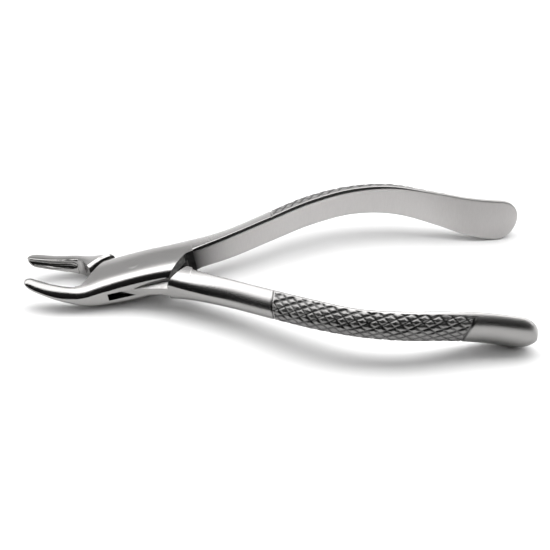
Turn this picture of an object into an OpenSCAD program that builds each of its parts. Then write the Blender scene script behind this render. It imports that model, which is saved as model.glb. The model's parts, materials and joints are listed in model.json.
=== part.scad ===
// Extraction forceps: two one-piece halves in a box joint, held by one flush pin.
//
// Both halves are described once, in a joint frame whose origin is the pivot and
// whose z axis is the pin, with the beaks nearly closed: x runs to the handles,
// and the box half's handle lies at +y, its beak at -y. The tongue half is the
// mirror image. Each half is then swung open, and the whole is laid on the table
// so that the joint's belly and both handle ends touch it.

/* [Joint] */
// Width of the joint across its flush sides
joint_w = 15.5; // [14:0.5:17]
// Thickness of the tongue that passes through the box
tongue_t = 2.6; // [2.2:0.1:3.2]
// Gap between the tongue and each cheek
tongue_gap = 0.06; // [0.04:0.01:0.1]
// Radius of the round pocket that the tongue turns in
pocket_r = 12.5; // [12.25:0.25:13.5]
// Gap around the tongue inside the pocket
pocket_gap = 0.2; // [0.1:0.05:0.3]
// Radius of the pivot pin, a press fit in both cheeks
pin_r = 2; // [1.5:0.25:2.5]
// Radial clearance of the pin in the tongue
pin_gap = 0.04; // [0.02:0.01:0.08]
// Angle that each half is opened from closed, as the forceps lie
half_open = 8.5; // [4:0.5:10]

/* [Ends] */
// Distance from the pivot to the beak tips
beak_end = 35.2; // [34:0.2:37]
// Distance from the pivot to the handle ends
handle_end = 129; // [127:0.5:131]
// Length over which a beak tip rounds off
tip_round = 2.8; // [2:0.2:4]
// Length over which a handle end rounds off
end_round = 6.5; // [5:0.5:8]

/* [Mesh] */
// Corners of each cross-section
ring_n = 28; // [24:4:36]

/* [Hidden] */

side = joint_w / 2;
slot_half = tongue_t / 2 + tongue_gap;
// Reach of a cutter that passes right through.
reach = 40;

// Length of the pin, a hair under flush with the cheeks.
pin_length = 10.4;
// How far the middle of each end stands out past its last ring.
end_peak = 0.05;
// Where the plain block of the joint gives way to the beak and to the handle.
beak_root = -19.5;
handle_root = 20;

// Curves along one half, each a list of [distance from the pivot, value].
// Beak: outer side and inner, gripping side.
beak_outer = [[-37, -2.5], [-34, -3.4], [-31, -4.7], [-27, -6.2], [-23, -7.3], [-19.5, -7.75]];
beak_inner = [[-37, 1], [-33.5, 0.7], [-30, -0.3], [-26, -1.7], [-22, -3], [-18, -3.6]];
// Handle: flat inner side and rounded outer side.
handle_inner = [[16, 0.1], [22, 1.8], [31, 4.5], [46, 9.4], [61, 14.2], [75.5, 17.1],
                [89.5, 16.3], [102.5, 12.5], [113.5, 9.3], [122, 8.3], [131, 8.2]];
handle_outer = [[6, 7.75], [11, 7.9], [18.5, 9.5], [31, 12.3], [46, 17.2], [61, 21.6],
                [75.5, 23.5], [89.5, 22.3], [102.5, 18], [113.5, 14.6], [122, 13.5], [131, 13.2]];
// Height of the middle of the section.
mid_height = [[-37, 8.8], [-34, 7.4], [-32, 6.4], [-27.5, 4.1], [-21.5, 1.8], [-17, 0.4],
              [-12, 0], [12, 0], [19, -0.3], [31, -1.3], [46, -1.95], [61, -2.7], [75.5, -4.4],
              [89.5, -7.1], [102.5, -11.4], [113.5, -15.7], [122, -18.6], [131, -20.9]];
// Full height of the section.
height = [[-37, 3], [-32, 3.5], [-27, 4.2], [-22, 5.3], [-18, 6.6], [-12, 8.8], [-5, 10.2],
          [2, 10.6], [12, 10], [20, 9], [31, 9.3], [46, 9.4], [61, 9.8], [75.5, 10.2],
          [89.5, 11.2], [102.5, 12.6], [113.5, 13.6], [122, 13.8], [131, 13]];
// Fullness of the section: 2 is an ellipse, more is squarer.
fullness = [[-37, 2.1], [-24, 2.1], [-12, 3.6], [-7, 4], [12, 4], [24, 2.4], [34, 2.05],
            [48, 2.1], [61, 2.2], [100, 2.2], [131, 2]];
// Lean of the section: its top turns away from the middle, in the beak and in the handle.
lean = [[-37, -7], [-22, -6], [-12, 0], [16, 0], [34, 4], [61, 3.5], [75.5, 5], [89.5, 8], [102.5, 11.5],
        [131, 13]];

// Plan lines of the box half's cheeks, closed.
cheek_front = [[-20, -3.4], [-18.6, -3.55], [-17.7, -3.2], [-16.9, -2.4], [-14.2, 0.6],
               [-10.8, 4.4], [-7.8, 7.1], [-7, 8.3]];
cheek_rear = [[10.7, -8], [17, -0.1], [18.4, 0.75], [20.4, 1.25]];
// Plan lines of the tongue half's shoulders, which stand clear of those cheeks.
shoulder_front = [[-17.4, -2.4], [-14.6, 0.9], [-11.3, 4.7], [-8.4, 7.3], [-7.6, 8.6]];
shoulder_rear = [[18.4, -0.7], [17.2, -1.4], [12.7, -7.9], [12, -9]];
// Room that the tongue half leaves for the cheeks.
cheek_room = concat(shoulder_front, [[-7.6, reach], [18.4, reach]], shoulder_rear,
                    [[12, -reach], [-17.4, -reach]]);
// Plan areas beside the tongue that its own beak and handle leave free.
tongue_front = concat([[-20, -reach]], [for (i = [0 : 3]) flipped(cheek_front[i])],
                      [[-14.4, -0.5], [0, -0.5], [0, -reach]]);
tongue_rear = concat([[0, 0], [0, reach], [20.4, reach]],
                     [for (i = [3 : -1 : 1]) flipped(cheek_rear[i])]);
// How far the tongue's waist reaches past the middle line at the front.
waist = 0.9;

// Slope at point i of a curve, weighted by the lengths on either side.
function secant(c, i) = (c[i + 1][1] - c[i][1]) / (c[i + 1][0] - c[i][0]);
function slope(c, i) =
    i == 0 ? secant(c, 0) :
    i == len(c) - 1 ? secant(c, i - 1) :
    let(a = c[i][0] - c[i - 1][0], b = c[i + 1][0] - c[i][0])
    (secant(c, i - 1) * b + secant(c, i) * a) / (a + b);
function segment(c, x, i = 0) = i >= len(c) - 2 || x < c[i + 1][0] ? i : segment(c, x, i + 1);
// Value of a curve at x, as a smooth cubic through its points.
function at(c, x) =
    let(i = segment(c, x), w = c[i + 1][0] - c[i][0], t = min(1, max(0, (x - c[i][0]) / w)))
    (1 + 2 * t) * pow(1 - t, 2) * c[i][1] + t * pow(1 - t, 2) * w * slope(c, i)
    + t * t * (3 - 2 * t) * c[i + 1][1] + t * t * (t - 1) * w * slope(c, i + 1);
function clamp(v, a, b) = min(b, max(a, v));
function blend(x, a, b) = let(t = clamp((x - a) / (b - a), 0, 1)) t * t * (3 - 2 * t);
function flipped(p) = [p[0], -p[1]];
function signed_pow(v, p) = sign(v) * pow(abs(v), p);

// Sides of the section at x, low and high in y.
function low_side(x) =
    x < beak_root ? at(beak_outer, x) : x < handle_root ? -side : at(handle_inner, x);
function high_side(x) =
    x < beak_root ? at(beak_inner, x) : x < 6 ? side : at(handle_outer, x);
// Line of greatest height.
function crown(x) =
    x < 0 ? blend(x, -8, -22) * (at(beak_inner, x) - 0.6)
          : blend(x, 8, 20) * at(handle_inner, x) + 0.55 * blend(x, 20, 36);
// How far past each side the section would run before it closed.
function over_low(x) = x < 0 ? 0.3 * blend(x, -24, -14) : 0.3 + 0.3 * blend(x, 14, 26);
function over_high(x) =
    x < beak_root ? 0.6 + 4 * blend(x, -27, beak_root) : 0.3 * (1 - blend(x, 8, handle_root));
// Share of its full size that the section keeps near the two ends.
function end_share(x) =
    x < tip_round - beak_end ? sqrt(max(0, 1 - pow((tip_round - beak_end - x) / tip_round, 2))) :
    x > handle_end - end_round ? sqrt(max(0, 1 - pow((x - handle_end + end_round) / end_round, 2))) : 1;

// Centre that the section shrinks to at the ends.
function core(x) = x < 0 ? (low_side(x) + high_side(x)) / 2 : at(handle_inner, x) + 1.6;

// Share by which the section's top runs ahead of its bottom, towards the handle end.
function ahead(x) = 0.32 * blend(x, 96, 126);

// One cross-section of the box half, closed.
function ring(x) =
    let(lo = low_side(x), hi = high_side(x), c = crown(x), n = at(fullness, x), s = end_share(x),
        h = at(height, x) / 2, z0 = at(mid_height, x), q = at(lean, x), k = core(x),
        low_a = c - lo + over_low(x), high_a = hi - c + over_high(x))
    [for (i = [0 : ring_n - 1])
        let(f = 360 * (i + 0.5) / ring_n,
            y = clamp(c + signed_pow(cos(f), 2 / n) * (cos(f) < 0 ? low_a : high_a), lo, hi),
            v = k + (y - k) * (s + (x > 0 ? 0.35 * (1 - s) : 0)) - c, w = s * h * signed_pow(sin(f), 2 / n))
        [x + ahead(x) * w, c + v * cos(q) + w * sin(q), z0 - v * sin(q) + w * cos(q)]];

// Stations along the half, closer together where it rounds off.
stations = concat(
    [for (i = [1 : 5]) -beak_end + tip_round * (1 - cos(18 * i))],
    [for (x = [-31.5 : 2.4 : -20]) x],
    [beak_root - 0.01, beak_root + 0.01],
    [for (x = [-17.5 : 2.5 : 18]) x],
    [handle_root - 0.01, handle_root + 0.01],
    [for (x = [23 : 3.6 : handle_end - end_round - 1]) x],
    [for (i = [0 : 6]) handle_end - end_round + end_round * sin(14 * i)]);
rings = [for (x = stations) ring(x)];
last = len(rings) - 1;

// Middle of a ring, moved along x: each end of the half closes on such a point.
function middle(r, dx) =
    [dx, 0, 0] + [for (k = [0 : 2]) (min([for (p = r) p[k]]) + max([for (p = r) p[k]])) / 2];
skin_points = concat([for (r = rings) for (p = r) p],
                     [middle(rings[0], -end_peak), middle(rings[last], end_peak)]);

// Pose of the box half: opened about the pin.
function opened(p) = [p[0] * cos(half_open) - p[1] * sin(half_open),
                      p[0] * sin(half_open) + p[1] * cos(half_open), p[2]];
open_points = [for (p = skin_points) opened(p)];
front_points = [for (p = open_points) if (p[0] < 30) p];
rear_points = [for (p = open_points) if (p[0] > 90) p];
function lowest(points, tilt) = min([for (p = points) p[0] * sin(tilt) + p[2] * cos(tilt)]);
// Tilt at which the front and the handle ends rest at one level, by halving.
function level_tilt(a, b, steps) =
    let(m = (a + b) / 2)
    steps == 0 ? m :
    lowest(front_points, m) > lowest(rear_points, m) ? level_tilt(m, b, steps - 1)
                                                     : level_tilt(a, m, steps - 1);
tilt = level_tilt(0, 20, 24);
lying_x = [for (p = open_points) p[0] * cos(tilt) - p[2] * sin(tilt)];
pivot_x = -(min(lying_x) + max(lying_x)) / 2;
pivot_z = -lowest(open_points, tilt);

echo(tilt = tilt, pivot_x = pivot_x, pivot_z = pivot_z);

// Lay a piece given in the joint frame on the table, swung by the given angle.
module lying(swing) {
    translate([pivot_x, 0, pivot_z]) rotate([0, -tilt, 0]) rotate([0, 0, swing]) children();
}

// Skin of the box half before the joint is cut.
module blank() {
    tip = len(skin_points) - 2;
    tail = len(skin_points) - 1;
    polyhedron(
        points = skin_points,
        faces = concat(
            [for (i = [0 : ring_n - 1]) [tip, i, (i + 1) % ring_n]],
            [for (j = [0 : last - 1]) for (i = [0 : ring_n - 1])
                let(a = j * ring_n + i, b = j * ring_n + (i + 1) % ring_n)
                each [[a, a + ring_n, b], [b, a + ring_n, b + ring_n]]],
            [for (i = [0 : ring_n - 1]) [tail, last * ring_n + (i + 1) % ring_n, last * ring_n + i]]));
}

module prism(points, low, high) {
    translate([0, 0, low]) linear_extrude(high - low) polygon(points);
}

// Round pocket and its two mouths, which the tongue passes through.
module slot() {
    translate([0, 0, -slot_half]) cylinder(r = pocket_r, h = 2 * slot_half, $fn = 96);
    prism([[0, -waist], [-reach, -waist], [-reach, reach], [0, reach]], -slot_half, slot_half);
    prism([[0, 0.3], [handle_root, 0.3], [handle_root, -reach], [0, -reach]], -slot_half, slot_half);
}

module box_half() {
    color("silver") lying(half_open) difference() {
        blank();
        prism(concat(cheek_front, [[-7, reach], [-20, reach]]), -reach, reach);
        prism(concat(cheek_rear, [[20.4, -reach], [10.7, -reach]]), -reach, reach);
        slot();
        cylinder(r = pin_r, h = reach, center = true, $fn = 96);
    }
}

// Everything outside the tongue's round edge, on the two sides that the box closes.
module outside_tongue() {
    difference() {
        union() {
            prism(tongue_front, -reach, reach);
            prism(tongue_rear, -reach, reach);
        }
        cylinder(r = pocket_r - pocket_gap, h = 2 * reach, center = true, $fn = 96);
    }
}

module tongue_half() {
    color("silver") lying(-half_open) difference() {
        mirror([0, 1, 0]) blank();
        outside_tongue();
        prism(cheek_room, tongue_t / 2, reach);
        prism(cheek_room, -reach, -tongue_t / 2);
        cylinder(r = pin_r + pin_gap, h = reach, center = true, $fn = 96);
    }
}

module pivot_pin() {
    color("gray") lying(half_open) cylinder(r = pin_r, h = pin_length, center = true, $fn = 96);
}

box_half();
tongue_half();
pivot_pin();
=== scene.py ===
"""Extraction forceps: the looks of the two halves and the pin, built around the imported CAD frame.

Each half is a dense loft along its own length, described once in the joint frame of the CAD: x runs
from the pivot to the handle end, z is the pin, the box half's handle lies at +y, and all of it is in
millimetres. The joint is then cut out of it, and the half is laid down where the frame's joint says.
"""

import json
import math

import bmesh
import bpy
import numpy as np
from mathutils import Matrix, Vector, kdtree


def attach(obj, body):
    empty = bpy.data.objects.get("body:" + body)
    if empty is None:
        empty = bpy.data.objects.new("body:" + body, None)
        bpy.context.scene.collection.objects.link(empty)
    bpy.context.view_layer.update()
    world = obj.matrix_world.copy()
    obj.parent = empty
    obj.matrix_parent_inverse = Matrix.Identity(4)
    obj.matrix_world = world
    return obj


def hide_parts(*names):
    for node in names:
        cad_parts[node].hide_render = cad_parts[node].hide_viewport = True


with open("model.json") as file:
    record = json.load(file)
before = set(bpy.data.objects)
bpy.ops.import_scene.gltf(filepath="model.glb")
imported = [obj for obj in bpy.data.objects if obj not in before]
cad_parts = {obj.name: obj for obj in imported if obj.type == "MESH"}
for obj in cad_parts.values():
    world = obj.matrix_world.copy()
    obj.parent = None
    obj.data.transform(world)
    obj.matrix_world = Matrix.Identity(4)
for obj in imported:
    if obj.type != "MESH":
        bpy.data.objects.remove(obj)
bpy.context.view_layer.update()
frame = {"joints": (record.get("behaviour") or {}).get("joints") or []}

MM = 0.001
joint = frame["joints"][0]
pivot = Vector(joint["pos_m"])
tilt = math.atan2(joint["axis"][0], -joint["axis"][2])

# ---------------------------------------------------------------- sizes, in millimetres and degrees
HALF_OPEN = 8.5        # each half's turn from closed, as it lies
BEAK_ROOT = -19.5
HANDLE_ROOT = 20
BEAK_END = 35.2        # beak tip, ahead of the pin
HANDLE_END = 129
TIP_ROUND = 2.8        # length over which a beak tip rounds off
END_ROUND = 6.5        # and over which a handle end does
EDGE_LEG = 0.8         # legs of the bevel along the edges of the handle's flat

# The joint.
SIDE = 7.75            # half the width across the cheeks
TONGUE_T = 2.6         # thickness of the tongue
SLOT_HALF = 1.36       # half the height of the slot that it runs in
POCKET_R = 12.5        # the round pocket between the cheeks
POCKET_GAP = 0.2       # and the tongue's clearance in it
PIN_R = 2.0
PIN_FIT = 0.012        # gap left round the pin's mesh in its hole
PIN_STEP = 0.03        # drop of the pin's rim below the cheek
PIN_SUNK = 0.006       # drop of the rest of its face
WAIST = 0.9            # where the slot's front part begins, across
SLOT_PAST = 0.3        # how far its rear part runs past the middle, across
REACH = 40             # how far the cutters run out past the steel
BEVEL = 1.15, 0.7      # width and depth of the bevel along the tongue half's front shoulder
BEVEL_POINTS = 24      # stations of its cutter
OVERCUT = 0.3          # how far its cutter stands out of the steel
CROTCH_START = 16.9    # where the cheek's end wall turns into the crotch
SHADE_REACH = 9.0       # how far the painted shade of the crotch, a painted reflection of the dark joint, reaches out along the flat

# The knurl: two sets of parallel grooves, steep and gentle, by their slope on the skin.
STEEP = 1.11
STEEP_PITCH = 3.28
GENTLE = 0.555
GENTLE_PITCH = 2.5
KNURL_START = 48.2
KNURL_END = 107.0
KNURL_SLANT = 0.33     # slope of its rear end across the handle
KNURL_DEPTH = 0.40
KNURL_FLANK = 0.72     # from a groove's bottom to the top of its flank
KNURL_MARGIN = 1.45    # from its edge to the corner of the flat

# The mesh: stations along the half, and columns round its section from the outer middle line.
STEP_ALONG = STEEP_PITCH / 16
STEP_ACROSS = STEP_ALONG * STEEP
SMOOTH_STEP = 0.05     # step along the outline that gives its direction
WING = 43              # columns on each side, as far as the corner zone
BEAK_FINE = 26         # of those, the ones over a beak's inner face
BEAK_STEP = 0.1        # and their spacing
CORNER = 10            # columns over the corner zone at the edge of the flat
CORNER_ROOM = 1.15     # start of that zone ahead of the corner
CORNER_PAST = 0.5      # and its end beyond the corner
BACK = 15              # columns over the back of the section
SHARP_ANGLE = 42       # degrees between faces from which an edge stays sharp


# ---------------------------------------------------------------- curves
def smooth(x, a, b):
    """Share of the way from a to b at x, eased at both ends."""
    t = np.clip((x - a) / (b - a), 0, 1)
    return t * t * (3 - 2 * t)


def signed_pow(v, p):
    """The size of v raised to p, with v's sign."""
    return np.sign(v) * np.abs(v) ** p


class Curve:
    """A smooth cubic through points of x and value, held level past its ends."""

    def __init__(self, *points):
        self.x, self.v = np.array(points, float).T
        width = np.diff(self.x)
        secant = np.diff(self.v) / width
        self.slope = np.concatenate([secant[:1], secant, secant[-1:]])[: len(self.x)]
        self.slope[-1] = secant[-1]
        self.slope[1:-1] = (secant[:-1] * width[1:] + secant[1:] * width[:-1]) / (width[:-1] + width[1:])

    def __call__(self, x):
        i = np.clip(np.searchsorted(self.x, x, side="right") - 1, 0, len(self.x) - 2)
        w = self.x[i + 1] - self.x[i]
        t = np.clip((x - self.x[i]) / w, 0, 1)
        return ((1 + 2 * t) * (1 - t) ** 2 * self.v[i] + t * (1 - t) ** 2 * w * self.slope[i]
                + t * t * (3 - 2 * t) * self.v[i + 1] + t * t * (t - 1) * w * self.slope[i + 1])


# A half seen from above, its middle's height over the joint, the height and squareness of its section,
# and the angle by which the section leans outwards.
beak_outer = Curve((-37, -2.5), (-34, -3.4), (-31, -4.7), (-27, -6.2), (-23, -7.3), (-19.5, -7.75))
beak_inner = Curve((-37, 1), (-33.5, 0.7), (-30, -0.3), (-26, -1.7), (-22, -3), (-18, -3.6))
handle_inner = Curve((16, 0.1), (22, 1.8), (31, 4.5), (46, 9.4), (61, 14.2), (75.5, 17.1), (89.5, 16.3),
                     (102.5, 12.5), (113.5, 9.3), (122, 8.3), (131, 8.2))
handle_outer = Curve((6, 7.75), (11, 7.9), (18.5, 9.5), (31, 12.3), (46, 17.2), (61, 21.6), (75.5, 23.5),
                     (89.5, 22.3), (102.5, 18), (113.5, 14.6), (122, 13.5), (131, 13.2))
mid_height = Curve((-37, 8.8), (-34, 7.4), (-32, 6.4), (-27.5, 4.1), (-21.5, 1.8), (-17, 0.4), (-12, 0),
                   (12, 0), (19, -0.3), (31, -1.3), (46, -1.95), (61, -2.7), (75.5, -4.4), (89.5, -7.1),
                   (102.5, -11.4), (113.5, -15.7), (122, -18.6), (131, -20.9))
height = Curve((-37, 3), (-32, 3.5), (-27, 4.2), (-22, 5.3), (-18, 6.6), (-12, 8.8), (-5, 10.2),
               (2, 10.6), (12, 10), (20, 9), (31, 9.3), (46, 9.4), (61, 9.8), (75.5, 10.2),
               (89.5, 11.2), (102.5, 12.6), (113.5, 13.6), (122, 13.8), (131, 13))
fullness = Curve((-37, 2.1), (-24, 2.1), (-12, 3.2), (-7, 3.3), (12, 3.3), (24, 2.4), (34, 2.05),
                 (48, 2.1), (61, 2.2), (100, 2.2), (131, 2))
lean = Curve((-37, -7), (-22, -6), (-12, 0), (16, 0), (34, 4), (61, 3.5), (75.5, 5), (89.5, 8),
             (102.5, 11.5), (131, 13))

# Plan lines of the joint: the ends of the box's cheeks, the tongue half's shoulders that face them, and
# the tongue's own edge from its shoulder to the pin.
CHEEK_FRONT = [(-20, -3.4), (-18.6, -3.55), (-17.7, -3.2), (-16.9, -2.4), (-14.2, 0.6), (-10.8, 4.4),
               (-7.8, 7.1), (-7, 8.3)]
CHEEK_REAR = [(10.7, -8), (17, -0.1), (18.4, 0.75), (20.4, 1.25)]
SHOULDER_FRONT = [(-17.4, -2.4), (-14.6, 0.9), (-11.3, 4.7), (-8.4, 7.3), (-7.6, 8.6)]
SHOULDER_REAR = [(18.4, -0.7), (17.2, -1.4), (12.7, -7.9), (12, -9)]
TONGUE_EDGE = [(-14.4, -0.5), (0, -0.5)]


def low_side(x):
    """The section's edge towards -y at x: a beak's outer side, a cheek, or a handle's flat."""
    return float(beak_outer(x) if x < BEAK_ROOT else -SIDE if x < HANDLE_ROOT else handle_inner(x))


def high_side(x):
    """Its edge towards +y: a beak's inner face, a cheek, or a handle's outer side."""
    return float(beak_inner(x) if x < BEAK_ROOT else SIDE if x < 6 else handle_outer(x))


def crown(x):
    """Place across the section at which it is highest."""
    if x < 0:
        return smooth(x, -8, -22) * (beak_inner(x) - 0.6)
    return smooth(x, 8, 20) * handle_inner(x) + 0.55 * (smooth(x, 20, 36) - 0.9 * smooth(x, 78, 112))


def ahead(x):
    """Share by which the section's top runs ahead of its bottom, towards the handle end."""
    return 0.32 * float(smooth(x, 96, 126))


def over_low(x):
    """How far the section's curve would run past its low edge, if a flat didn't cut it off there."""
    return 0.3 * smooth(x, -24, -14) if x < 0 else 0.3 + 0.3 * smooth(x, 14, 26)


def over_high(x):
    """The same at its high edge."""
    return 0.6 + 4 * smooth(x, -27, BEAK_ROOT) if x < BEAK_ROOT else 0.3 * (1 - smooth(x, 8, HANDLE_ROOT))


def end_share(x):
    """Share of the section's full size at x, for the round tips and ends."""
    if x < TIP_ROUND - BEAK_END:
        return math.sqrt(max(0, 1 - ((TIP_ROUND - BEAK_END - x) / TIP_ROUND) ** 2))
    if x > HANDLE_END - END_ROUND:
        return math.sqrt(max(0, 1 - ((x - HANDLE_END + END_ROUND) / END_ROUND) ** 2))
    return 1


# ---------------------------------------------------------------- sections
SAMPLES = 720
TURN = np.arange(SAMPLES) / SAMPLES * 2 * math.pi
COS, SIN = np.cos(TURN), np.sin(TURN)

# Groove in the gripping face of a beak, with its fine serrations.
GROOVE_TIP = -34.3
GROOVE_ROOT = -19.9
GROOVE_RUN_IN = 2.0    # length of its round end at the tip
GROOVE_RUN_OUT = 4.5   # and at the root
GROOVE_SHARE = 0.33    # its half width, as a share of the section's height
GROOVE_LIFT = 0.10     # its middle above the section's, as a share of the same
GROOVE_DEPTH = 0.95
SERRATION_PITCH = 0.62
SERRATION_DEPTH = 0.13


def groove_half(x):
    """Half width of the beak's groove at x, rounded at both ends."""
    run_in = min(1, max(0, (x - GROOVE_TIP) / GROOVE_RUN_IN))
    run_out = min(1, max(0, (GROOVE_ROOT - x) / GROOVE_RUN_OUT))
    round_off = math.sqrt(1 - (1 - run_in) ** 2) * math.sqrt(1 - (1 - run_out) ** 2)
    return GROOVE_SHARE * float(height(x)) * round_off


def groove_cut(x, up):
    """Depth of that groove at height up from the middle of the section."""
    half = groove_half(x)
    if half < 0.05:
        return 0 * up
    up = up - GROOVE_LIFT * float(height(x))
    bowl = np.clip(1 - (up / half) ** 2, 0, 1) ** 0.6
    wave = 0.5 - 0.5 * np.cos(2 * math.pi * up / SERRATION_PITCH)
    lines = SERRATION_DEPTH * wave * np.clip(bowl * 3, 0, 1)
    return GROOVE_DEPTH * bowl * (half / (GROOVE_SHARE * float(height(x)))) + lines


INWARD = 1.6       # how far from the flat a handle's end closes in on itself
END_KEPT = 0.35    # share of its width that it keeps


def outline(x):
    """Dense section of the box half at x: points as (across, up) from the crown, the turn at which the
    low edge's flat begins, and the crown's place."""
    lo, hi, c, n = low_side(x), high_side(x), float(crown(x)), float(fullness(x))
    tall = float(height(x)) / 2
    low_span, high_span = c - lo + float(over_low(x)), hi - c + float(over_high(x))
    y = np.clip(c + signed_pow(COS, 2 / n) * np.where(COS < 0, low_span, high_span), lo, hi)
    up = tall * signed_pow(SIN, 2 / n)
    leg = EDGE_LEG * float(smooth(x, 17, 22) - 0.85 * smooth(x, 72, 112))
    trim = np.maximum(0, leg - (y - lo) - (tall - np.abs(up))) / 2
    y, up = y + trim, up - np.sign(up) * trim
    share = end_share(x)
    if x < BEAK_ROOT:
        y = np.minimum(y, hi - groove_cut(x, up))
        middle = (lo + hi) / 2
    else:
        middle = float(handle_inner(x)) + INWARD if x > 0 else (lo + hi) / 2
    across = middle + (y - middle) * (share + (END_KEPT * (1 - share) if x > 0 else 0)) - c
    edge = math.acos(-min(1, ((c - lo) / low_span) ** (n / 2)))
    return np.stack([across, up * share], 1), edge, c


def perimeter(points):
    """Length round a closed outline."""
    return float(np.linalg.norm(np.diff(np.vstack([points, points[:1]]), axis=0), axis=1).sum())


def resample(points, at):
    """Points at arc lengths at along a closed outline, and the arc lengths of its own points. at may be
    a function of the outline's whole length."""
    closed = np.vstack([points, points[:1]])
    run = np.concatenate([[0], np.cumsum(np.linalg.norm(np.diff(closed, axis=0), axis=1))])
    at = np.asarray(at(run[-1]) if callable(at) else at) % run[-1]
    return np.stack([np.interp(at, run, closed[:, k]) for k in (0, 1)], 1), run


def soften(points, length, sigma):
    """Rounds the corners of an evenly spaced closed outline."""
    wave = np.fft.fftfreq(len(points), 1 / len(points))
    fade = np.exp(-2 * (math.pi * wave * sigma / length) ** 2)
    spectrum = np.fft.fft(points[:, 0] + 1j * points[:, 1]) * fade
    back = np.fft.ifft(spectrum)
    return np.stack([back.real, back.imag], 1)


def spread(x, limit, corner, whole):
    """Arc lengths of the mesh columns at x: about the outer middle line, the corner zones, the back.

    Up to limit the columns keep the knurl's own spacing; on a beak they are fine over its inner face.
    """
    j = np.arange(WING + 1)
    edge = min(corner - CORNER_ROOM, 0.36 * whole)
    rim = min(corner + CORNER_PAST, 0.44 * whole)
    base = j * STEP_ACROSS * max(1, (limit + KNURL_MARGIN) / (WING * STEP_ACROSS))
    full = base[-1]
    fan = np.where(base <= limit, base, limit + (base - limit) * (edge - limit) / (full - limit))
    rest = BEAK_FINE * BEAK_STEP
    coarse = rest + (j - BEAK_FINE) * (edge - rest) / (WING - BEAK_FINE)
    beak = np.where(j <= BEAK_FINE, j * BEAK_STEP, coarse) if edge > rest * 1.3 else edge * j / WING
    share = float(smooth(x, -17, -21))
    wing = fan * (1 - share) + beak * share
    wing = np.concatenate([wing, np.linspace(edge, rim, CORNER + 1)[1:]])
    back = np.linspace(rim, whole - rim, BACK + 2)[1:-1]
    return np.concatenate([-wing[:0:-1], wing, back])


def knurl(x, run, limit):
    """At x and at arc length run from the outer middle line: share of the knurl's full depth, its zone."""
    s = np.interp(x, PATTERN_X, PATTERN_S)
    steep = (s + run / STEEP) / STEEP_PITCH
    gentle = (run - GENTLE * s) / GENTLE_PITCH
    off_steep = np.abs(steep - np.round(steep)) * STEEP_PITCH * STEEP / math.hypot(1, STEEP)
    off_gentle = np.abs(gentle - np.round(gentle)) * GENTLE_PITCH / math.hypot(1, GENTLE)
    # Distance from the nearest groove, and a slight difference in depth from groove to groove.
    near = np.minimum(off_steep, off_gentle * 1.05)
    uneven = 1 + 0.1 * np.sin(1.7 * np.round(steep) + 2.3) + 0.08 * np.sin(2.9 * np.round(gentle) + 0.4)
    cut = np.clip(1 - near / KNURL_FLANK, 0, 1) ** 1.5 * uneven
    finish = KNURL_END + KNURL_SLANT * run - x
    room = limit - np.abs(run)
    inside = smooth(room, -0.1, 0.45) * smooth(x, KNURL_START, KNURL_START + 0.3) * smooth(finish, 0, 0.4)
    # A shallow groove runs round the handle ahead of the knurl, and another, slanting, closes it.
    border = 0.75 * np.exp(-((x - KNURL_START + 0.45) / 0.24) ** 2) * smooth(room + 0.9, 0, 0.9)
    runout = 0.9 * np.exp(-((finish + 0.1) / 0.45) ** 2) * smooth(room, 0, 0.6)
    return np.maximum(cut * inside, np.maximum(border, runout)), inside


def ladder(a, b, step):
    """Even places from a towards b, b left out."""
    return np.linspace(a, b, max(2, int(round((b - a) / step)) + 1))[:-1]


# The knurl was rolled on the straight bar, so bending the handle drew it out over the belly: places
# along the handle, and the bar's own length up to each.
PATTERN_X = np.linspace(40, 120, 161)
STRETCH = 0.95 + 0.12 * smooth(PATTERN_X[1:], 52, 78)
PATTERN_S = np.concatenate([[0], np.cumsum(np.diff(PATTERN_X) / STRETCH)])
FINE_START, FINE_END = 44.6, 113.2   # part of the half whose stations follow the pattern
TIP_TURNS = 3, 7, 12, 18, 25, 33, 42, 52, 63, 76   # degrees round the beak tip
END_TURNS = *range(0, 90, 6), 88                   # and round the handle end


def stations():
    """Places of the rings along the half, close together where the shape is fine."""
    tip = [-BEAK_END + TIP_ROUND * (1 - math.cos(math.radians(a))) for a in TIP_TURNS]
    end = [HANDLE_END - END_ROUND * (1 - math.sin(math.radians(a))) for a in END_TURNS]
    first, last = np.interp([FINE_START, FINE_END], PATTERN_X, PATTERN_S)
    even = np.arange(first, last, STEP_ALONG)
    return np.concatenate([
        tip, ladder(TIP_ROUND - BEAK_END, BEAK_ROOT - 0.02, 0.24), [BEAK_ROOT - 0.01, BEAK_ROOT + 0.01],
        ladder(BEAK_ROOT + 0.35, HANDLE_ROOT - 0.02, 0.42), [HANDLE_ROOT - 0.01, HANDLE_ROOT + 0.01],
        ladder(HANDLE_ROOT + 0.6, FINE_START - 0.2, 0.7), np.interp(even, PATTERN_S, PATTERN_X),
        ladder(FINE_END + 0.3, HANDLE_END - END_ROUND - 0.4, 0.7), end])


def corner_radius(x):
    """Spread of the rounding of the section's corners at x."""
    return 0.1 + 0.16 * float(smooth(x, -24, -17) - smooth(x, 14, 26)) + 0.25 * float(smooth(x, 98, 122))


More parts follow.
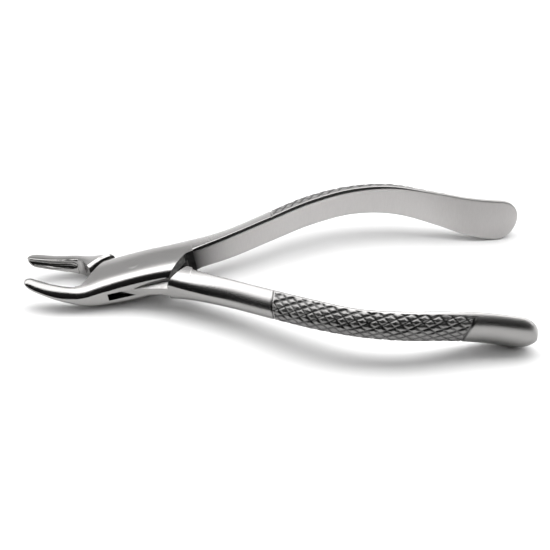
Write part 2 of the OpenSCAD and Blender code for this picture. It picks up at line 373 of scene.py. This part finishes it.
def loft():
    """Rings of the box half in its joint frame, and for each vertex its shares of the finishes."""
    rings, values = [], {name: [] for name in ("groove", "knurl", "satin", "flat", "crotch_shade", "brushed")}
    for x in stations():
        points, edge, c = outline(x)
        even, run = resample(points, lambda whole: np.arange(SAMPLES) * whole / SAMPLES)
        whole = run[-1]
        corner = float(np.interp(edge, np.append(TURN, 2 * math.pi), run))
        soft = soften(even, whole, min(corner_radius(x), 0.02 * whole))
        limit = min(corner - KNURL_MARGIN, 0.33 * whole)
        place = spread(x, limit, corner, whole)
        at, _ = resample(soft, place / whole * perimeter(soft))
        further, _ = resample(soft, (place + SMOOTH_STEP) / whole * perimeter(soft))
        tangent = further - at
        tangent /= np.maximum(np.linalg.norm(tangent, axis=1, keepdims=True), 1e-9)
        out = np.stack([tangent[:, 1], -tangent[:, 0]], 1)
        share, zone = 0 * place, 0 * place
        if FINE_START - 0.6 < x < FINE_END + 0.8:
            signed = np.where(place > whole / 2, place - whole, place)
            share, zone = knurl(x, signed, limit)
            at = at - out * (share * KNURL_DEPTH)[:, None]
        q = math.radians(float(lean(x)))
        y = c + at[:, 0] * math.cos(q) + at[:, 1] * math.sin(q)
        z = float(mid_height(x)) - at[:, 0] * math.sin(q) + at[:, 1] * math.cos(q)
        rings.append(np.stack([x + ahead(x) * at[:, 1], y, z], 1))
        facing = smooth(-out[:, 0], 0.75, 0.97)
        fade = math.exp(-max(0, x - HANDLE_ROOT) / SHADE_REACH)
        values["groove"].append(share)
        values["knurl"].append(zone)
        values["satin"].append(smooth(np.abs(out[:, 1]), 0.72, 0.96) * float(smooth(x, -24, -16)))
        values["flat"].append(facing * float(smooth(x, 18, 22)))
        # painted shade and reflection of the dark joint, fading out along the flat from the crotch, partly
        # dark oxide
        values["crotch_shade"].append(facing * float(smooth(x, 12, 18)) * fade)
        values["brushed"].append(0 * place + float(0.6 * smooth(x, 16, 44) + 0.4 * smooth(x, 98, 112)))
    return np.array(rings), {name: np.concatenate(value) for name, value in values.items()}


# ---------------------------------------------------------------- meshes
# Numbers of the finishes on a half: outer skin, cut wall painted near black as shade, milled face painted
# bright as lit, crotch painted black as shade.
SKIN, SHADED_CUT, LIT_MILL, BLACK = range(4)


def mesh_object(name, verts, faces, materials=()):
    """A linked object from plain vertices and faces."""
    mesh = bpy.data.meshes.new(name)
    mesh.from_pydata([tuple(v) for v in verts], [], faces)
    mesh.update()
    obj = bpy.data.objects.new(name, mesh)
    bpy.context.scene.collection.objects.link(obj)
    for m in materials:
        mesh.materials.append(m)
    return obj


def skin(name, rings, mirrored, materials):
    """The closed loft through the rings, each end closed on a point in its middle."""
    count, around = rings.shape[:2]
    verts = np.vstack([rings.reshape(-1, 3), rings[0].mean(0), rings[-1].mean(0)])
    faces = []
    for j in range(count - 1):
        for i in range(around):
            a, b = j * around + i, j * around + (i + 1) % around
            faces.append((a, a + around, b + around, b))
    tip, tail, last = count * around, count * around + 1, (count - 1) * around
    for i in range(around):
        k = (i + 1) % around
        faces.append((tip, i, k))
        faces.append((tail, last + k, last + i))
    if mirrored:
        verts[:, 1] *= -1
    else:
        faces = [f[::-1] for f in faces]
    return mesh_object(name, verts, [tuple(int(v) for v in f) for f in faces], materials)


def prism(points, low, high):
    """Closed prism over a plan polygon, as vertices and faces turned outwards."""
    p = np.array(points, float)
    turn = np.sum(p[:, 0] * np.roll(p[:, 1], -1) - p[:, 1] * np.roll(p[:, 0], -1))
    if turn < 0:
        p = p[::-1]
    n = len(p)
    verts = [(x, y, low) for x, y in p] + [(x, y, high) for x, y in p]
    faces = [tuple(range(n - 1, -1, -1)), tuple(range(n, 2 * n))]
    faces += [(i, (i + 1) % n, n + (i + 1) % n, n + i) for i in range(n)]
    return verts, faces


def disc(radius, low, high, steps=128):
    """Closed upright cylinder about the pin's axis."""
    return prism([(radius * math.cos(2 * math.pi * k / steps), radius * math.sin(2 * math.pi * k / steps))
                  for k in range(steps)], low, high)


def subtract(target, tool):
    """Takes tool away from target, and is then rid of it."""
    m = target.modifiers.new("cut", "BOOLEAN")
    m.operation, m.object, m.solver = "DIFFERENCE", tool, "MANIFOLD"
    bpy.context.view_layer.objects.active = target
    with bpy.context.temp_override(object=target, active_object=target):
        bpy.ops.object.modifier_apply(modifier=m.name)
    bpy.data.objects.remove(tool)


def cutter(shape, materials, walls=SHADED_CUT, levels=SHADED_CUT):
    """A cutter that leaves one finish on upright walls and another on level faces, by number."""
    obj = mesh_object("cutter", *shape, materials)
    finish = [levels if abs(f.normal.z) > 0.9 else walls for f in obj.data.polygons]
    obj.data.polygons.foreach_set("material_index", finish)
    return obj


def cut(target, shape, materials, walls=SHADED_CUT, levels=SHADED_CUT):
    """Cuts a shape out of target, leaving those finishes."""
    subtract(target, cutter(shape, materials, walls, levels))


def flipped(points):
    """A plan line mirrored to the other half's side."""
    return [(x, -y) for x, y in points]


def rounded(points):
    """A plan line with its inner points rounded off, by cutting its corners twice."""
    p = np.array(points, float)
    for _ in range(2):
        mids = [p[0]]
        for a, b in zip(p[:-1], p[1:]):
            mids += [a * 0.75 + b * 0.25, a * 0.25 + b * 0.75]
        p = np.array(mids + [p[-1]])
    return [tuple(q) for q in p]


def beyond(line, y):
    """Plan area from a rounded line out to y."""
    return rounded(line) + [(line[-1][0], y), (line[0][0], y)]


def carve_box(half, materials):
    """Cuts the box: the cheeks' two ends, the pocket and slots between them, and the pin's hole."""
    for area in (beyond(CHEEK_FRONT, REACH), beyond(CHEEK_REAR, -REACH)):
        cut(half, prism(area, -REACH, REACH), materials)
    cut(half, disc(POCKET_R, -SLOT_HALF, SLOT_HALF), materials)
    ahead_of_pin = [(0, -WAIST), (-REACH, -WAIST), (-REACH, REACH), (0, REACH)]
    behind_pin = [(0, SLOT_PAST), (HANDLE_ROOT, SLOT_PAST), (HANDLE_ROOT, -REACH), (0, -REACH)]
    for area in (ahead_of_pin, behind_pin):
        cut(half, prism(area, -SLOT_HALF, SLOT_HALF), materials)
    cut(half, disc(PIN_R, -REACH, REACH, 64), materials)
    darken_crotch(half)


def darken_crotch(half):
    """The corner between the cheek's end and the handle's flat is painted black: painted shade in the
    crotch, partly a dark forging skin.
    """
    for face in half.data.polygons:
        if face.material_index == SHADED_CUT and face.center.x > CROTCH_START:
            face.material_index = BLACK


def carve_tongue(half, materials):
    """Cuts the tongue: its outline in plan, the room for the cheeks above and below, the pin's hole."""
    front = [(CHEEK_FRONT[0][0], -REACH)] + flipped(CHEEK_FRONT[:4]) + TONGUE_EDGE + [(0, -REACH)]
    rear = [(0, 0), (0, REACH), (CHEEK_REAR[-1][0], REACH)] + flipped(CHEEK_REAR[:0:-1])
    room = (rounded(SHOULDER_FRONT) + [(SHOULDER_FRONT[-1][0], REACH), (SHOULDER_REAR[0][0], REACH)]
            + rounded(SHOULDER_REAR) + [(SHOULDER_REAR[-1][0], -REACH), (SHOULDER_FRONT[0][0], -REACH)])
    for area in (front, rear):
        outside = cutter(prism(area, -REACH, REACH), materials, walls=SKIN)
        subtract(outside, cutter(disc(POCKET_R - POCKET_GAP, -REACH - 1, REACH + 1), materials))
        subtract(half, outside)
    cut(half, prism(room, TONGUE_T / 2, REACH), materials, levels=LIT_MILL)
    cut(half, prism(room, -REACH, -TONGUE_T / 2), materials, levels=LIT_MILL)
    cut(half, disc(PIN_R, -REACH, REACH, 64), materials)


def chamfer(line, outward, tops, side):
    """Cutter that bevels the edge along a plan line: tops are the heights of the skin there."""
    width, depth = BEVEL
    p = np.array(line, float)
    run = np.gradient(p, axis=0)
    run /= np.linalg.norm(run, axis=1, keepdims=True)
    out = np.stack([run[:, 1], -run[:, 0]], 1) * outward
    rise = OVERCUT * depth / width
    corners = (-OVERCUT, -depth - rise), (width + 3 * OVERCUT, 3 * rise), (-OVERCUT, 3 * rise)
    verts = [(x + nx * a, y + ny * a, side * (z + b))
             for (x, y), (nx, ny), z in zip(p, out, tops) for a, b in corners]
    last = 3 * (len(p) - 1)
    faces = [(0, 1, 2), (last + 2, last + 1, last)]
    for k in range(0, last, 3):
        faces += [(k + i, k + 3 + i, k + 3 + (i + 1) % 3, k + (i + 1) % 3) for i in range(3)]
    mesh = bmesh.new()
    made = [mesh.verts.new(v) for v in verts]
    for f in faces:
        mesh.faces.new([made[i] for i in f])
    bmesh.ops.recalc_face_normals(mesh, faces=mesh.faces)
    bmesh.ops.triangulate(mesh, faces=mesh.faces)
    data = bpy.data.meshes.new("bevel")
    mesh.to_mesh(data)
    mesh.free()
    obj = bpy.data.objects.new("bevel", data)
    bpy.context.scene.collection.objects.link(obj)
    return obj


def bevel_shoulders(half, rings, materials):
    """Bright bevel along the top and bottom edges of the tongue half's front shoulder."""
    line = np.array(rounded(SHOULDER_FRONT))
    run = np.concatenate([[0], np.cumsum(np.linalg.norm(np.diff(line, axis=0), axis=1))])
    even = np.linspace(0, run[-1], BEVEL_POINTS)
    line = np.stack([np.interp(even, run, line[:, k]) for k in (0, 1)], 1)
    for side in (1, -1):
        tops = [side * skin_height(rings, x, -y, side) for x, y in line]
        obj = chamfer(line, -1, tops, side)
        for m in materials:
            obj.data.materials.append(m)
        subtract(half, obj)


PAINT_REACH = 1.5   # further than this from the loft, in millimetres, a vertex lies on a cut


def paint(obj, source, values):
    """Gives obj float attributes: each vertex takes those of the loft's vertex nearest to it."""
    tree = kdtree.KDTree(len(source))
    for i, v in enumerate(source):
        tree.insert(v, i)
    tree.balance()
    found = [tree.find(v.co) for v in obj.data.vertices]
    for name, value in values.items():
        layer = obj.data.attributes.new(name, "FLOAT", "POINT")
        shares = [value[i] if distance < PAINT_REACH else 0 for _, i, distance in found]
        layer.data.foreach_set("value", np.array(shares, np.float32))


def lay(obj, swing):
    """Puts a piece from its joint frame, in millimetres, on the table, in metres."""
    place = (Matrix.Translation(pivot) @ Matrix.Rotation(-tilt, 4, "Y")
             @ Matrix.Rotation(math.radians(swing), 4, "Z") @ Matrix.Diagonal((MM, MM, MM, 1)))
    obj.data.transform(place)
    obj.data.update()


def finish_mesh(obj):
    """Smooth shading, with the joint's edges kept sharp."""
    obj.data.shade_smooth()
    obj.data.set_sharp_from_angle(angle=math.radians(SHARP_ANGLE))


# ---------------------------------------------------------------- materials
def link(tree, a, b):
    """Joins the output socket a to the input socket b."""
    tree.links.new(a, b)


def nodes_of(name):
    """A new material, its node tree and its main shader."""
    mat = bpy.data.materials.new(name)
    mat.use_nodes = True
    tree = mat.node_tree
    return mat, tree, tree.nodes["Principled BSDF"]


def math_node(tree, kind, a, b=None, c=None):
    """Output of a maths node on sockets or plain numbers."""
    n = tree.nodes.new("ShaderNodeMath")
    n.operation = kind
    for socket, value in zip(n.inputs, (a, b, c)):
        if value is None:
            continue
        if hasattr(value, "links"):
            link(tree, value, socket)
        else:
            socket.default_value = value
    return n.outputs[0]


def noise(tree, scale, stretch=(1, 1, 1), detail=3):
    """Noise in the piece's own space, scale in cells per metre before the stretch."""
    coord = tree.nodes.new("ShaderNodeTexCoord")
    mapping = tree.nodes.new("ShaderNodeMapping")
    mapping.inputs["Scale"].default_value = stretch
    n = tree.nodes.new("ShaderNodeTexNoise")
    n.inputs["Scale"].default_value = scale
    n.inputs["Detail"].default_value = detail
    link(tree, coord.outputs["Object"], mapping.inputs["Vector"])
    link(tree, mapping.outputs[0], n.inputs["Vector"])
    return n.outputs["Fac"]


def attribute(tree, name):
    """One of the shares that paint() gave the mesh."""
    n = tree.nodes.new("ShaderNodeAttribute")
    n.attribute_name = name
    return n.outputs["Fac"]


COLOUR_A, COLOUR_B, COLOUR_OUT = 6, 7, 2   # a mix node's sockets for colours


def mix_colour(tree, share, a, b):
    """Colour share of the way from a to b, each a socket or a plain colour."""
    n = tree.nodes.new("ShaderNodeMix")
    n.data_type = "RGBA"
    link(tree, share, n.inputs[0])
    for socket, value in ((n.inputs[COLOUR_A], a), (n.inputs[COLOUR_B], b)):
        if hasattr(value, "links"):
            link(tree, value, socket)
        else:
            socket.default_value = (*value, 1)
    return n.outputs[COLOUR_OUT]


def bump(tree, shader, height_socket, strength, distance):
    """Fine relief on a shader, distance in metres."""
    n = tree.nodes.new("ShaderNodeBump")
    n.inputs["Strength"].default_value = strength
    n.inputs["Distance"].default_value = distance
    link(tree, height_socket, n.inputs["Height"])
    link(tree, n.outputs[0], shader.inputs["Normal"])


# Darker and lighter tone of the polished rounds, the ground faces and the handles' flats, and the painted
# dark: painted shade and reflection of the joint on the flat near the crotch, painted shade in the knurl's
# grooves, partly dirt, and a darker tone over the knurl.
POLISHED = (0.28, 0.276, 0.27), (0.325, 0.32, 0.315)
GROUND = (0.41, 0.402, 0.398), (0.46, 0.452, 0.447)
FLAT = (0.515, 0.502, 0.498), (0.595, 0.582, 0.576)
PAINTED_DARK = (0.03, 0.03, 0.03)
ZONE_DARK, GROOVE_DARK = 0.28, 0.92   # share of that painted dark over the knurl, and in its grooves, where it is painted shade, partly dirt


def forged_steel():
    """Polished on the rounds, ground on top, brushed on the flats and towards the handle ends."""
    mat, tree, shader = nodes_of("forged_steel")
    shader.inputs["Metallic"].default_value = 1
    satin, groove, zone, flat, crotch_shade, brushed = (
        attribute(tree, n) for n in ("satin", "groove", "knurl", "flat", "crotch_shade", "brushed"))
    cloud = noise(tree, 90, detail=2)
    grain = noise(tree, 420, (1, 9, 9), 2)
    brush = noise(tree, 500, (8, 1, 1), 3)
    speck = noise(tree, 5200, detail=2)
    rough = 0.125
    for share, amount in (satin, 0.08), (flat, 0.26), (grain, 0.08), (zone, 0.06), (brushed, 0.14):
        rough = math_node(tree, "MULTIPLY_ADD", share, amount, rough)
    link(tree, rough, shader.inputs["Roughness"])
    polished = mix_colour(tree, cloud, *POLISHED)
    ground = mix_colour(tree, brush, *GROUND)
    base = mix_colour(tree, satin, polished, ground)
    base = mix_colour(tree, flat, base, mix_colour(tree, brush, *FLAT))
    base = mix_colour(tree, math_node(tree, "MULTIPLY", zone, ZONE_DARK), base, PAINTED_DARK)
    # painted shade in the knurl's grooves, partly dirt
    base = mix_colour(tree, math_node(tree, "MULTIPLY", groove, GROOVE_DARK), base, PAINTED_DARK)
    # painted shade and reflection of the dark joint on the flat near the crotch
    link(tree, mix_colour(tree, crotch_shade, base, PAINTED_DARK), shader.inputs["Base Color"])
    fine = math_node(tree, "MULTIPLY_ADD", speck, 0.35, grain)
    bump(tree, shader, fine, 0.10, 0.00012)
    return mat


# Roughness, and the darker and lighter tone, of the faces that the joint's cuts leave: the walls are
# painted near black as shade, the tongue half's milled faces are painted bright as lit steel, and the
# crotch is painted black as shade over a partly dark forging skin.
SHADED_CUT_TONES = 0.28, (0.008, 0.008, 0.008), (0.10, 0.098, 0.095)
CROTCH_SHADE_AND_SKIN = 0.45, (0.003, 0.003, 0.003), (0.02, 0.02, 0.02)
LIT_MILLED = 0.48, (0.66, 0.65, 0.64), (0.88, 0.87, 0.86)


def cut_steel(name, roughness, dark, light):
    """Steel with tool marks across its height and cloudy tones."""
    mat, tree, shader = nodes_of(name)
    shader.inputs["Metallic"].default_value = 1
    marks = noise(tree, 600, (1, 1, 7), 3)
    cloud = noise(tree, 700, detail=3)
    link(tree, math_node(tree, "MULTIPLY_ADD", marks, 0.16, roughness), shader.inputs["Roughness"])
    spots = math_node(tree, "MULTIPLY_ADD", cloud, 2.4, -0.7)
    link(tree, mix_colour(tree, spots, dark, light), shader.inputs["Base Color"])
    bump(tree, shader, marks, 0.35, 0.0002)
    return mat


def pin_steel():
    """The pin's ground face."""
    mat, tree, shader = nodes_of("pin_steel")
    shader.inputs["Metallic"].default_value = 1
    grain = noise(tree, 500, (1, 7, 7), 2)
    link(tree, math_node(tree, "MULTIPLY_ADD", grain, 0.08, 0.20), shader.inputs["Roughness"])
    link(tree, mix_colour(tree, grain, *GROUND), shader.inputs["Base Color"])
    bump(tree, shader, grain, 0.08, 0.0001)
    return mat


# ---------------------------------------------------------------- the object
def skin_height(rings, x, y, side):
    """Height of the loft's top (side 1) or bottom (side -1) at plan point x, y in the joint."""
    xs = rings[:, 0, 0]
    i = int(np.clip(np.searchsorted(xs, x) - 1, 0, len(xs) - 2))
    t = (x - xs[i]) / (xs[i + 1] - xs[i])
    ring = rings[i] * (1 - t) + rings[i + 1] * t
    part = ring[ring[:, 2] * side > 0.5]
    order = np.argsort(part[:, 1])
    return float(np.interp(y, part[order, 1], part[order, 2]))


def pin(rings, materials):
    """The pressed pin, ground to the cheeks' own crown, with a hair of a step round its rim."""
    around, radii = 64, (0.35, 0.7, 1.05, 1.4, 1.7, 1.88, PIN_R - PIN_FIT)
    verts, faces = [], []
    for side in (1, -1):
        verts.append((0, 0, skin_height(rings, 0, 0, side) - side * PIN_SUNK))
        for r in radii:
            drop = PIN_STEP if r == radii[-1] else PIN_SUNK
            for k in range(around):
                a = 2 * math.pi * k / around
                x, y = r * math.cos(a), r * math.sin(a)
                verts.append((x, y, skin_height(rings, x, y, side) - side * drop))
    n = 1 + around * len(radii)
    for s, start in enumerate((0, n)):
        for k in range(around):
            m = (k + 1) % around
            tri = (start, start + 1 + k, start + 1 + m)
            faces.append(tri if s == 0 else tri[::-1])
            for j in range(len(radii) - 1):
                a = start + 1 + j * around
                quad = (a + k, a + around + k, a + around + m, a + m)
                faces.append(quad if s == 0 else quad[::-1])
    rim = 1 + around * (len(radii) - 1)
    for k in range(around):
        m = (k + 1) % around
        faces.append((n + rim + k, n + rim + m, rim + m, rim + k))
    return mesh_object("pin_ground_flush", verts, faces, materials)


def build():
    """Makes the two halves and the pin, hides the CAD node that each stands in for, and gives each to its
    body.
    """
    steel, pin_finish = forged_steel(), pin_steel()
    # the cut walls get a shaded copy and the milled faces a lit copy of cut steel, painted shade and
    # painted light; the crotch's black is painted shade
    finishes = (steel, cut_steel("shaded_cut_steel", *SHADED_CUT_TONES), cut_steel("lit_milled_steel", *LIT_MILLED),
                cut_steel("crotch_shade_and_skin_steel", *CROTCH_SHADE_AND_SKIN))
    rings, values = loft()
    points = rings.reshape(-1, 3)
    for name, node, body, mirrored, carve in (
            ("half_with_box", "box_half", "box_side", False, carve_box),
            ("half_with_tongue", "tongue_half", "tongue_side", True, carve_tongue)):
        half = skin(name, rings, mirrored, finishes)
        carve(half, finishes)
        if mirrored:
            bevel_shoulders(half, rings, finishes)
        paint(half, points * (1, -1, 1) if mirrored else points, values)
        finish_mesh(half)
        lay(half, -HALF_OPEN if mirrored else HALF_OPEN)
        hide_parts(node)
        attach(half, body)
    pressed_pin = pin(rings, (pin_finish,))
    finish_mesh(pressed_pin)
    lay(pressed_pin, HALF_OPEN)
    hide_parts("pivot_pin")
    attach(pressed_pin, "box_side")


# ---------------------------------------------------------------- studio
FLOOR_HALF = 3
FLOOR_TONES = (0.90, 0.90, 0.90), (0.92, 0.92, 0.92)


def floor():
    """The plain pale table."""
    a = FLOOR_HALF
    obj = mesh_object("studio_floor", [(-a, -a, 0), (a, -a, 0), (a, a, 0), (-a, a, 0)], [(0, 1, 2, 3)])
    mat, tree, shader = nodes_of("pale_floor")
    shader.inputs["Roughness"].default_value = 0.9
    shader.inputs["Specular IOR Level"].default_value = 0.1
    soft = noise(tree, 3, detail=1)
    link(tree, mix_colour(tree, soft, *FLOOR_TONES), shader.inputs["Base Color"])
    obj.data.materials.append(mat)


# Brightness round the room, by the angle from straight up towards the camera's side, in degrees.
ROOM = ((-180, 0.5), (-92, 1.2), (-66, 1.1), (-59, 0.5), (-44, 0.46), (-39, 0.6), (-34, 3.4), (-5, 3.4),
        (2, 0.03), (82, 0.015), (94, 0.3), (180, 0.5))
PEAK = max(level for _, level in ROOM)
FILL_SIZE = 2.4
FILL_POWER = 12
FILL_PLACE = 0, 0.2, 1.2


def studio():
    """A soft room: a long light overhead, a pale wall behind the object and a dark one before it, and
    a lamp that lights the floor."""
    world = bpy.data.worlds.new("studio")
    world.use_nodes = True
    bpy.context.scene.world = world
    tree = world.node_tree
    coord = tree.nodes.new("ShaderNodeTexCoord")
    split = tree.nodes.new("ShaderNodeSeparateXYZ")
    link(tree, coord.outputs["Generated"], split.inputs[0])
    forward = math_node(tree, "MULTIPLY", split.outputs["Y"], -1)
    angle = math_node(tree, "ARCTAN2", forward, split.outputs["Z"])
    share = math_node(tree, "MULTIPLY_ADD", angle, 0.5 / math.pi, 0.5)
    ramp = tree.nodes.new("ShaderNodeValToRGB")
    link(tree, share, ramp.inputs[0])
    stops = ramp.color_ramp.elements
    for k, (degrees, level) in enumerate(ROOM):
        place = degrees / 360 + 0.5
        stop = stops[0] if k == 0 else stops[-1] if k == len(ROOM) - 1 else stops.new(place)
        stop.position = place
        stop.color = (level / PEAK, level / PEAK, level / PEAK, 1)
    back = tree.nodes["Background"]
    link(tree, ramp.outputs[0], back.inputs["Color"])
    back.inputs["Strength"].default_value = PEAK
    fill = bpy.data.lights.new("floor_fill", "AREA")
    fill.shape, fill.size, fill.energy = "DISK", FILL_SIZE, FILL_POWER
    lamp = bpy.data.objects.new("floor_fill", fill)
    lamp.location = FILL_PLACE
    lamp.visible_glossy = False
    bpy.context.scene.collection.objects.link(lamp)


ELEVATION, AZIMUTH, ROLL = math.radians(42), math.radians(1.3), math.radians(0.7)
DISTANCE = 0.587
SENSOR, LENS = 36, 117.5708          # millimetres
TARGET = Vector((pivot.x + 0.045, 0, 0.005))
ASIDE, RAISED = 0.00049, 0.00108     # the camera's last shift across its own view


def camera():
    """The view: raised, turned a touch to the right, from well off with a long lens."""
    forward = Vector((math.sin(AZIMUTH) * math.cos(ELEVATION), math.cos(AZIMUTH) * math.cos(ELEVATION),
                      -math.sin(ELEVATION)))
    right = Vector((math.cos(AZIMUTH), -math.sin(AZIMUTH), 0))
    up = right.cross(forward)
    right, up = right * math.cos(ROLL) + up * math.sin(ROLL), up * math.cos(ROLL) - right * math.sin(ROLL)
    data = bpy.data.cameras.new("camera")
    data.sensor_width = SENSOR
    data.lens = LENS
    data.clip_start, data.clip_end = 0.01, 20
    cam = bpy.data.objects.new("camera", data)
    bpy.context.scene.collection.objects.link(cam)
    turn = Matrix((right, up, -forward)).transposed().to_4x4()
    place = TARGET - forward * DISTANCE + right * ASIDE + up * RAISED
    cam.matrix_world = Matrix.Translation(place) @ turn
    bpy.context.scene.camera = cam


build()
floor()
studio()
camera()
bpy.context.scene.view_settings.view_transform = "Standard"
bpy.context.view_layer.update()
